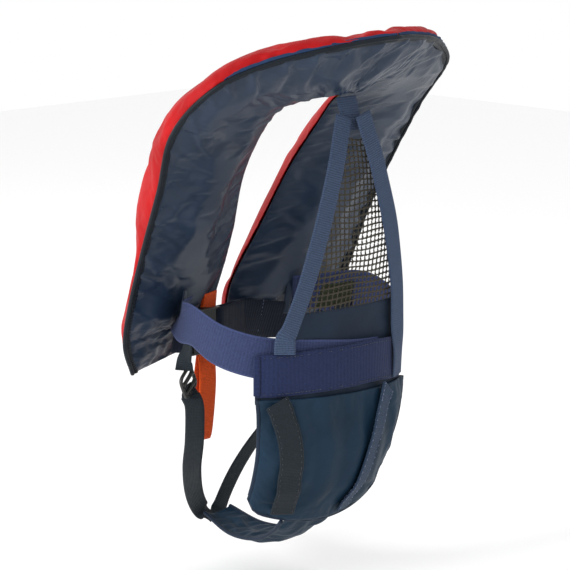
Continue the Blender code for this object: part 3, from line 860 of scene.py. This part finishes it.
def make_net():
    """Knotless square mesh: level and upright strands, thick where they cross."""
    parts = []
    levels = int((NET_TOP - NET_FOOT) * MM / NET_PITCH)
    for step in range(levels + 1):
        height = NET_FOOT + (NET_TOP - NET_FOOT) * step / levels
        span = (at_height(YOKE_LEFT, height) - at_height(YOKE_RIGHT, height)).length
        count = max(4, int(span / (1.4 * MM)))
        line, radii = [], []
        for k in range(count + 1):
            place = k / count
            across = (place - 0.5) * span
            sag = 1.1 * math.sin(place * 9 + height * 0.05) * (1 - (2 * place - 1) ** 2)
            point = yoke_point(place, height + sag, 6.5 * MM)
            knot = math.cos(2 * math.pi * across / NET_PITCH)
            line.append(point + Vector((0, 0.35 * MM * (1 if step % 2 else -1) * knot, 0)))
            radii.append((0.78 + 0.42 * max(0, knot) ** 3) * MM)
        parts.append(strand(line, radii))
    widest = (at_height(YOKE_LEFT, NET_FOOT) - at_height(YOKE_RIGHT, NET_FOOT)).length
    half = int(widest / 2 / NET_PITCH)
    for column in range(-half, half + 1):
        line, radii = [], []
        for k in range(121):
            height = NET_FOOT + (NET_TOP - NET_FOOT) * k / 120
            left, right = at_height(YOKE_LEFT, height), at_height(YOKE_RIGHT, height)
            span = (left - right).length
            drift = 1.3 * MM * math.sin(height * 0.045 + column * 0.5)
            place = 0.5 + (column * NET_PITCH + drift) / span
            if not 0 <= place <= 1:
                continue
            knot = math.cos(2 * math.pi * levels * k / 120)
            line.append(yoke_point(place, height, 6.5 * MM)
                        + Vector((0, 0.35 * MM * knot, 0)))
            radii.append((0.72 + 0.4 * max(0, knot) ** 3) * MM)
        if len(line) > 3:
            parts.append(strand(line, radii))
    piece = joined("net", parts, NET)
    stand_for(piece, ["yoke_mesh"])


def make_yoke():
    left_across = [(0.94, -0.08, 0.33)] * 4 + [(0.9, -0.4, 0.1), (0.86, -0.5, 0)]
    left = webbing_piece("yoke_webbing_left", YOKE_LEFT, left_across, 20 * MM, 1.9 * MM, YOKE,
                         count=160, ripple=0.15)
    stand_for(left, ["yoke_strap_left"])
    right_across = [(0.95, 0.05, -0.28)] * 3 + [(0.97, 0.15, -0.1)] * 2 + [(0.93, 0.36, 0)] * 2
    right = webbing_piece("yoke_webbing_right", YOKE_RIGHT, right_across, 20 * MM, 1.9 * MM,
                          YOKE, count=160, ripple=0.15)
    stand_for(right, ["yoke_strap_right"])
    tab = [(0, 89.5, 215), (0, 90, 226), (0, 87.5, 237), (0, 84, 247)]
    piece = webbing_piece("yoke_tab_webbing", tab, [(1, 0, 0)] * 4, 26 * MM, 1.8 * MM, YOKE,
                          count=30)
    stand_for(piece, ["yoke_tab"])
    base = [[yoke_point(c / 24, 44 - 44 * r / 8, 6.5 * MM) + Vector((0, 0.5 * MM * math.sin(r * 1.6), 0))
             for c in range(25)] for r in range(9)]
    piece = sheet_object("yoke_band", base, BAND, 2 * MM, levels=1)
    stand_for(piece, ["yoke_base"])
    label = []
    for r in range(9):
        row = []
        for c in range(13):
            curl = 0.5 * MM * math.sin(c * 0.8) * (r / 8) + 1.2 * MM * (1 - r / 8) ** 2
            row.append(yoke_point(0.22 + 0.33 * c / 12, 47 + 22 * r / 8, 9 * MM)
                       - Vector((0, curl, 0)))
        label.append(row)
    piece = sheet_object("label", label, LABEL, 0.6 * MM, levels=1)
    stand_for(piece, ["blank_label"])


# ---------------------------------------------------------------- seat and crotch

SEAT_LEFT = 104 * MM
SEAT_RIGHT = -83 * MM
CORNER = 13 * MM


def seat_point(x, fall, outside=0.0):
    """A point on the seat panel: x in metres, fall 0 at its top to 1 at its hem."""
    top = -37.2 * MM - (SEAT_LEFT - x) / (SEAT_LEFT - SEAT_RIGHT) * 4.8 * MM
    hem = -172 * MM + 2.3 * (x - 15 * MM) ** 2
    for edge in (SEAT_LEFT, SEAT_RIGHT):
        bite = max(0.0, CORNER - abs(x - edge))
        hem += (CORNER - math.sqrt(CORNER ** 2 - bite ** 2)) * 0.9
    ring = math.sqrt(max(0, 1 - (x / TORSO_X) ** 2)) * TORSO_BACK + 4 * MM
    y = ring * (1 - 0.35 * fall ** 2.2)
    narrow = 0.11 if x > 0 else 0.05
    return Vector((x * (1 - narrow * fall), y + outside, top + (hem - top) * fall))


def seat_folds(x, fall):
    """Soft upright folds hanging from the top seam, gathered at the hem."""
    fold = math.sin(x * 190 + 1.2 * math.sin(fall * 3)) * (0.4 + 0.6 * fall)
    fold += 0.7 * math.sin(x * 90 + 2 + fall * 1.5) * fall
    return fold * 2.2 * MM * math.sin(math.pi * min(1, fall * 1.1 + 0.06)) ** 0.5


def make_seat():
    rows_count, columns = 61, 81
    rows, pins = [], {}
    for r in range(rows_count):
        fall = r / (rows_count - 1)
        row = []
        for c in range(columns):
            x = SEAT_LEFT + (SEAT_RIGHT - SEAT_LEFT) * c / (columns - 1)
            edge = min(c, columns - 1 - c, rows_count - 1 - r) / 5
            row.append(seat_point(x, fall) + Vector((0, seat_folds(x, fall) * min(1, edge), 0)))
            if r == 0 or r == rows_count - 1 or c in (0, columns - 1):
                pins[r * columns + c] = 1.0
        rows.append(row)
    points = [p for row in rows for p in row]
    piece = mesh_object("seat_pad", points, grid_faces(rows_count, columns), PANEL)
    swell(piece, pins, cap=5 * MM, pressure=0.2, frames=12)
    finish_cloth(piece, 3.6 * MM, 1)
    stand_for(piece, ["seat_panel"])
    heading = [(104, 64.5, -31), (87, 78, -31), (55, 92, -31), (15, 99.6, -31), (-20, 99.6, -32),
               (-50, 94, -35), (-80, 82, -38)]
    strip = webbing_piece("seat_heading", heading, [(0, 0, 1)] * 7, 22 * MM, 1.6 * MM, BAND,
                          count=80)
    trim(strip)
    edge = [seat_point(SEAT_LEFT, k / 30) for k in range(31)]
    edge += [seat_point(SEAT_LEFT + (SEAT_RIGHT - SEAT_LEFT) * k / 40, 1) for k in range(1, 41)]
    edge += [seat_point(SEAT_RIGHT, 1 - k / 30) for k in range(1, 31)]
    binding = tube("seat_binding", edge, 2.5 * MM, BAND, sides=8)
    trim(binding)
    for name, start, end, across in (("left", 95, 79, (0.88, -0.47, 0)),
                                     ("right", -41, -7, (0.93, 0.3, 0))):
        path = []
        for step in range(15):
            fall = 0.01 + 0.95 * step / 14
            shift = (end - start) * (step / 14) ** 0.65
            point = seat_point((start + shift) * MM, fall)
            found = [piece.ray_cast(point + Vector((reach * MM, 60 * MM, 0)), Vector((0, -1, 0)))
                     for reach in (-9, 0, 9)]
            outer = [hit[1].y for hit in found if hit[0]]
            point.y = max(outer + [point.y]) + 1.4 * MM
            path.append(point / MM)
        turns = [across] * len(path)
        strap = webbing_piece("seat_webbing_" + name, path, turns, 23 * MM, 1.8 * MM,
                              BLACK_WEB if name == "left" else SEAT_WEB, count=90, ripple=0.25)
        stand_for(strap, ["seat_strap_" + name])
        lines = webbing_rows(path, turns, (-9.5 * MM, 9.5 * MM), 1.8 * MM)
        sew("seat_stitches_" + name, lines, DARK_THREAD if name == "left" else PALE_THREAD)


CROTCH_PATH = [(20, 60, -171), (18, 40, -187), (14, 4, -205), (9, -46, -212), (4, -94, -203)]


def make_crotch():
    rows_count, columns = 81, 25
    centre = smooth_path(millimetres(CROTCH_PATH), rows_count)
    points = []
    for layer in (1, -1):
        for r, point in enumerate(centre):
            share = r / (rows_count - 1)
            half = (44 - 26 * share) * MM
            for c in range(columns):
                side = 2 * c / (columns - 1) - 1
                fullness = (1 - side ** 4) * min(1, 6 * share, 6 * (1 - share)) * 3.6 * MM
                quilt = 0.7 * MM * math.sin(point.y * 420 + side * 2.5) * abs(side) ** 0.6
                wrinkle = 1.3 * MM * noise.noise(Vector((side * 2.2, point.y * 70, layer * 3.0)))
                lift = layer * fullness + (quilt + wrinkle) * min(1, 5 * (1 - abs(side)))
                points.append(point + Vector((half * side, 0, 3 * MM * side * side + lift)))
    sheet = rows_count * columns
    faces = grid_faces(rows_count, columns)
    faces += [tuple(corner + sheet for corner in reversed(face)) for face in faces]
    piece = mesh_object("crotch_cushion", points, faces, PANEL)
    outward(piece, merge=0.01 * MM)
    coarse = smooth_path(millimetres(CROTCH_PATH), 41)
    pins = {v.index: 1.0 for v in piece.data.vertices if on_rim(v, coarse)}
    swell(piece, pins, cap=3 * MM, pressure=0.4, frames=10)
    finer = piece.modifiers.new("finer", "SUBSURF")
    finer.levels = finer.render_levels = 1
    bake_modifiers(piece)
    piece.data.shade_smooth()
    stand_for(piece, ["crotch_pad"])
    for sign in (1, -1):
        line = [p + Vector(((44 - 26 * r / (rows_count - 1)) * MM * sign, 0, 3 * MM))
                for r, p in enumerate(centre)]
        welt = tube("crotch_binding_" + ("left" if sign > 0 else "right"), line, 2.0 * MM, BAND)
        trim(welt)
    make_crotch_straps()


def on_rim(vertex, centre):
    """Whether a point of the cushion is on its sewn rim."""
    last = len(centre) - 1
    near = min(range(last + 1), key=lambda k: (centre[k] - vertex.co).length)
    half = (44 - 26 * near / last) * MM
    return abs(vertex.co.x - centre[near].x) > half - 1.2 * MM or near in (0, last)


def make_crotch_straps():
    near = [(104.5, -25.5, -49), (99, -25.5, -63), (89, -37, -100), (74, -57, -135),
            (46, -84, -172), (18, -103, -199.5), (9, -95, -207)]
    diagonal = (0.7, -0.7, 0)
    across = [(0.5, -0.5, -0.6), (0.65, -0.65, -0.2), diagonal, diagonal, (0.85, -0.5, 0),
              (1, 0, 0), (1, 0, 0)]
    piece = webbing_piece("crotch_webbing_left", near, across, 18 * MM, 1.8 * MM, BLACK_WEB,
                          count=140, ripple=0.2)
    stand_for(piece, ["crotch_strap_left"])
    far = [(-100.4, -19.4, -46), (-97, -25, -60), (-93, -54, -78), (-78, -80, -100),
           (-55, -93, -131), (-30, -102, -166), (-9, -103, -199.5), (-1, -95, -207)]
    across = [(0.5, 0.5, 0.6), (0.6, 0.6, 0.3), (0.75, 0.6, 0.2), (0.9, 0.3, 0.2),
              (0.9, 0.1, 0.3), (0.95, 0, 0.2), (1, 0, 0), (1, 0, 0)]
    piece = webbing_piece("crotch_webbing_right", far, across, 18 * MM, 1.8 * MM, BLACK_WEB,
                          count=140, ripple=0.2)
    stand_for(piece, ["crotch_strap_right"])


# ---------------------------------------------------------------- adjusters and lifting strap

LOCK_CENTRE = Vector((107, -26, -35)) * MM
LOCK_BAR = Vector((0.831, 0.336, -0.445)).normalized()
LOCK_DOWN = Vector((-0.442, -0.088, -0.892)).normalized()


def make_hangers():
    for side, sign in (("left", 1), ("right", -1)):
        path = [(107.6, -22.5, 18), (108.8, -25, -3), (110, -28, -14),
                tuple((LOCK_CENTRE - LOCK_DOWN * 14.6 * MM) / MM)]
        across = [(0.46, 0.89, 0), (0.2, 0.95, 0.1), (-0.3, 0.85, 0.3), (-0.75, 0.1, 0.5)]
        if sign < 0:
            path, across = mirrored(path), mirrored(across)
        piece = webbing_piece("hanger_webbing_" + side, path, across, 16.5 * MM, 1.8 * MM,
                              BLACK_WEB, count=60)
        stand_for(piece, ["lock_hanger_" + side])


def closed_rod(points, normal, flat, tall, sides=10):
    """A closed loop of rod through points that lie square to a normal."""
    rings, faces = [], []
    total = len(points)
    for r, point in enumerate(points):
        along = (points[(r + 1) % total] - points[r - 1]).normalized()
        out = along.cross(normal).normalized()
        for k in range(sides):
            angle = 2 * math.pi * k / sides
            rings.append(point + out * flat * math.cos(angle) + normal * tall * math.sin(angle))
    for r in range(total):
        after = (r + 1) % total
        for k in range(sides):
            n = (k + 1) % sides
            faces.append((r * sides + k, r * sides + n, after * sides + n, after * sides + k))
    return rings, faces


def make_ladder_locks():
    """Round-edged moulded adjusters: a rail each side, three cross bars and a grip."""
    for side, sign in (("left", 1), ("right", -1)):
        bar = Vector((sign * LOCK_BAR.x, LOCK_BAR.y, LOCK_BAR.z)).normalized()
        down = Vector((sign * LOCK_DOWN.x, LOCK_DOWN.y, LOCK_DOWN.z))
        down = (down - bar * down.dot(bar)).normalized()
        normal = bar.cross(down)
        centre = Vector((sign * LOCK_CENTRE.x, LOCK_CENTRE.y, LOCK_CENTRE.z))
        loop = []
        for k in range(64):
            angle = 2 * math.pi * k / 64
            wide = power(math.cos(angle), 0.42) * 12.6
            tall = power(math.sin(angle), 0.42) * 11.7
            loop.append(centre + (bar * wide + down * tall) * MM)
        parts = [closed_rod(loop, normal, 1.8 * MM, 1.9 * MM)]
        for place, radius in ((-2.8, 2.0), (7.4, 2.0)):
            line, radii = [], []
            for k in range(25):
                x = -12 + k
                swollen = 1 + 0.25 * (abs(x) / 12) ** 4
                line.append(centre + (bar * x + down * place) * MM)
                radii.append(radius * swollen * MM)
            parts.append(strand(line, radii, sides=12))
        for k in range(6):
            x = -8.5 + 3.4 * k
            line = [centre + (bar * x + down * y + normal * 1.7) * MM for y in (8.2, 9.4, 10.6)]
            parts.append(strand(line, [0.5 * MM, 0.7 * MM, 0.5 * MM], sides=8))
        piece = joined("adjuster_" + side, parts, BLACK)
        stand_for(piece, ["ladder_lock_" + side], "ladder_lock_" + side)
        start = centre + down * 3.0 * MM - normal * 1.2 * MM
        hold = Vector((sign * 104.5, -25.5, -52)) * MM
        tail = [start, start.lerp(hold, 0.35) - normal * 1.2 * MM, start.lerp(hold, 0.7), hold]
        turned = Vector((sign * 0.65, -0.65, -0.3))
        strap = webbing_piece("strap_tail_" + side, [tuple(p / MM) for p in tail],
                              [tuple(bar), tuple(bar), tuple(bar + turned), tuple(turned)],
                              17 * MM, 1.7 * MM, BLACK_WEB, count=30)
        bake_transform(strap)


def make_lifting_strap():
    """One doubled length of webbing, sewn flat at the top and open as a loop below."""
    top = [(28, -77, 36), (28, -80.6, 14), (28, -82.6, -8), (28.2, -83.4, -26), (30, -79.8, -60),
           (34, -80.6, -104), (35, -84, -117.5), (35, -88, -106), (32, -87.6, -62),
           (28.4, -86.0, -28), (28, -84.8, -10), (28, -83, 14), (28, -79.4, 35)]
    turn = [(0.97, 0.24, 0), (0.99, 0.14, 0)] + [(1, 0, 0)] * (len(top) - 4)
    turn += [(0.99, 0.14, 0), (0.97, 0.24, 0)]
    piece = webbing_piece("lifting_webbing", top, turn, 22 * MM, 1.7 * MM, ORANGE_WEB, count=260)
    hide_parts("lifting_anchor", "lifting_strap")
    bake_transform(piece)
    outer = [(28, -79.4, 35), (28, -83, 14), (28, -84.8, -10)]
    inner = [(28, -77, 36), (28, -80.6, 14), (28, -82.6, -8)]
    lines = webbing_rows(inner, [(1, 0, 0)] * 3, (-8.5 * MM, 8.5 * MM), 1.7 * MM)
    lines += webbing_rows(outer, [(1, 0, 0)] * 3, (-8.5 * MM, 8.5 * MM), 1.7 * MM)
    for height in (33, 29, -6):
        for y in (-76.2 - 0.11 * (36 - height), -80.5 - 0.1 * (36 - height)):
            line = [Vector((28 + x, y, height)) * MM for x in range(-8, 9, 2)]
            lines.append((line, (0, 1 if y > -80.3 else -1, 0)))
    sew("lifting_stitches", lines, ORANGE_THREAD)


# ---------------------------------------------------------------- inside the lobes

def make_bladder():
    """The folded bladder inside the horseshoe: flat layers with a soft outline."""
    points, rows_count, sides = [], 161, 20
    for r in range(rows_count):
        place = 0.24 + 1.52 * r / (rows_count - 1)
        centre, across, forward, half, depth = collar_frame(place)
        thick = 0.25 * depth
        middle = centre + forward * (thick / 2 + 4 * MM)
        fold = 1 + 0.03 * math.sin(place * 60)
        for turn in circle(sides):
            points.append(middle + across * (half - 15 * MM) * fold * power(math.cos(turn))
                          + forward * thick / 2 * power(math.sin(turn)))
    piece = mesh_object("bladder_fold", points, loft_faces(rows_count, sides), BLADDER)
    stand_for(piece, ["bladder"])


def finish_hard_parts():
    """Materials for the moulded and metal nodes that are shown as they are."""
    finishes = {
        BLACK: ["buckle_female", "buckle_male", "prong_upper", "prong_lower",
                "inflator_body", "oral_tube"],
        YELLOW: ["salt_bobbin", "capsule_cap", "oral_valve", "dust_cap"],
        RED_PLASTIC: ["inflator_lever"],
        ORANGE_PLASTIC: ["whistle"],
        STEEL: ["firing_pin", "co2_cylinder"],
    }
    for finish, nodes in finishes.items():
        for node in nodes:
            shown = NODES[node]
            shown.data.materials.clear()
            shown.data.materials.append(finish)


# ---------------------------------------------------------------- picture

CAMERA_TURN = math.radians(45)
CAMERA_RISE = math.radians(11.5)
CAMERA_AWAY = 2.6
LENS = 164.2
LIT_POINT = Vector((0, 0, 0.06))
FLOOR_HALF = 3.0
FLOOR_BELOW = 40 * MM

def make_camera():
    """A long lens from behind the wearer's left shoulder, a little above the belt."""
    level = Vector((math.sin(CAMERA_TURN), math.cos(CAMERA_TURN), 0)) * math.cos(CAMERA_RISE)
    back = level + Vector((0, 0, math.sin(CAMERA_RISE)))
    right = Vector((-math.cos(CAMERA_TURN), math.sin(CAMERA_TURN), 0))
    up = back.cross(right)
    lens = bpy.data.cameras.new("camera")
    lens.sensor_width = 36
    lens.lens = LENS
    camera = bpy.data.objects.new("camera", lens)
    bpy.context.scene.collection.objects.link(camera)
    turn = Matrix((right, up, back)).transposed().to_4x4()
    place = back * CAMERA_AWAY + right * 0.001 + up * 0.0495
    camera.matrix_world = Matrix.Translation(place) @ turn
    bpy.context.scene.camera = camera


def make_light(name, position, size, energy):
    data = bpy.data.lights.new(name, "AREA")
    data.size = size
    data.energy = energy
    lamp = bpy.data.objects.new(name, data)
    bpy.context.scene.collection.objects.link(lamp)
    lamp.location = position
    aim = LIT_POINT - Vector(position)
    lamp.rotation_euler = aim.to_track_quat("-Z", "Y").to_euler()


def make_stage():
    """A pale sweep below the hanging jacket, and soft light from large panels."""
    world = bpy.data.worlds.new("studio")
    world.use_nodes = True
    world.node_tree.nodes["Background"].inputs["Color"].default_value = (1, 1, 1, 1)
    world.node_tree.nodes["Background"].inputs["Strength"].default_value = 1.0
    bpy.context.scene.world = world
    bpy.context.scene.view_settings.view_transform = "Standard"
    make_light("key", (2.15, -0.1, 0.6), 0.5, 30)
    make_light("fill", (-1.2, 1.8, 0.4), 1.4, 1.5)
    make_light("front", (0.4, -1.8, 0.9), 1.2, 10)
    floor_shade = Shade("floor_white", roughness=0.95, specular=0.1)
    floor_shade.set("Base Color", (0.93, 0.93, 0.93, 1))
    low = CAD_BOX[0][2] - FLOOR_BELOW
    corners = [(x * FLOOR_HALF, y * FLOOR_HALF, low) for x, y in ((-1, -1), (1, -1), (1, 1), (-1, 1))]
    floor = mesh_object("floor", corners, [(0, 1, 2, 3)], floor_shade.material)


make_cover()
make_lining()
make_piping()
make_closure()
make_belts()
make_yoke()
make_net()
make_seat()
make_crotch()
make_hangers()
make_ladder_locks()
make_lifting_strap()
make_bladder()
finish_hard_parts()
make_camera()
make_stage()
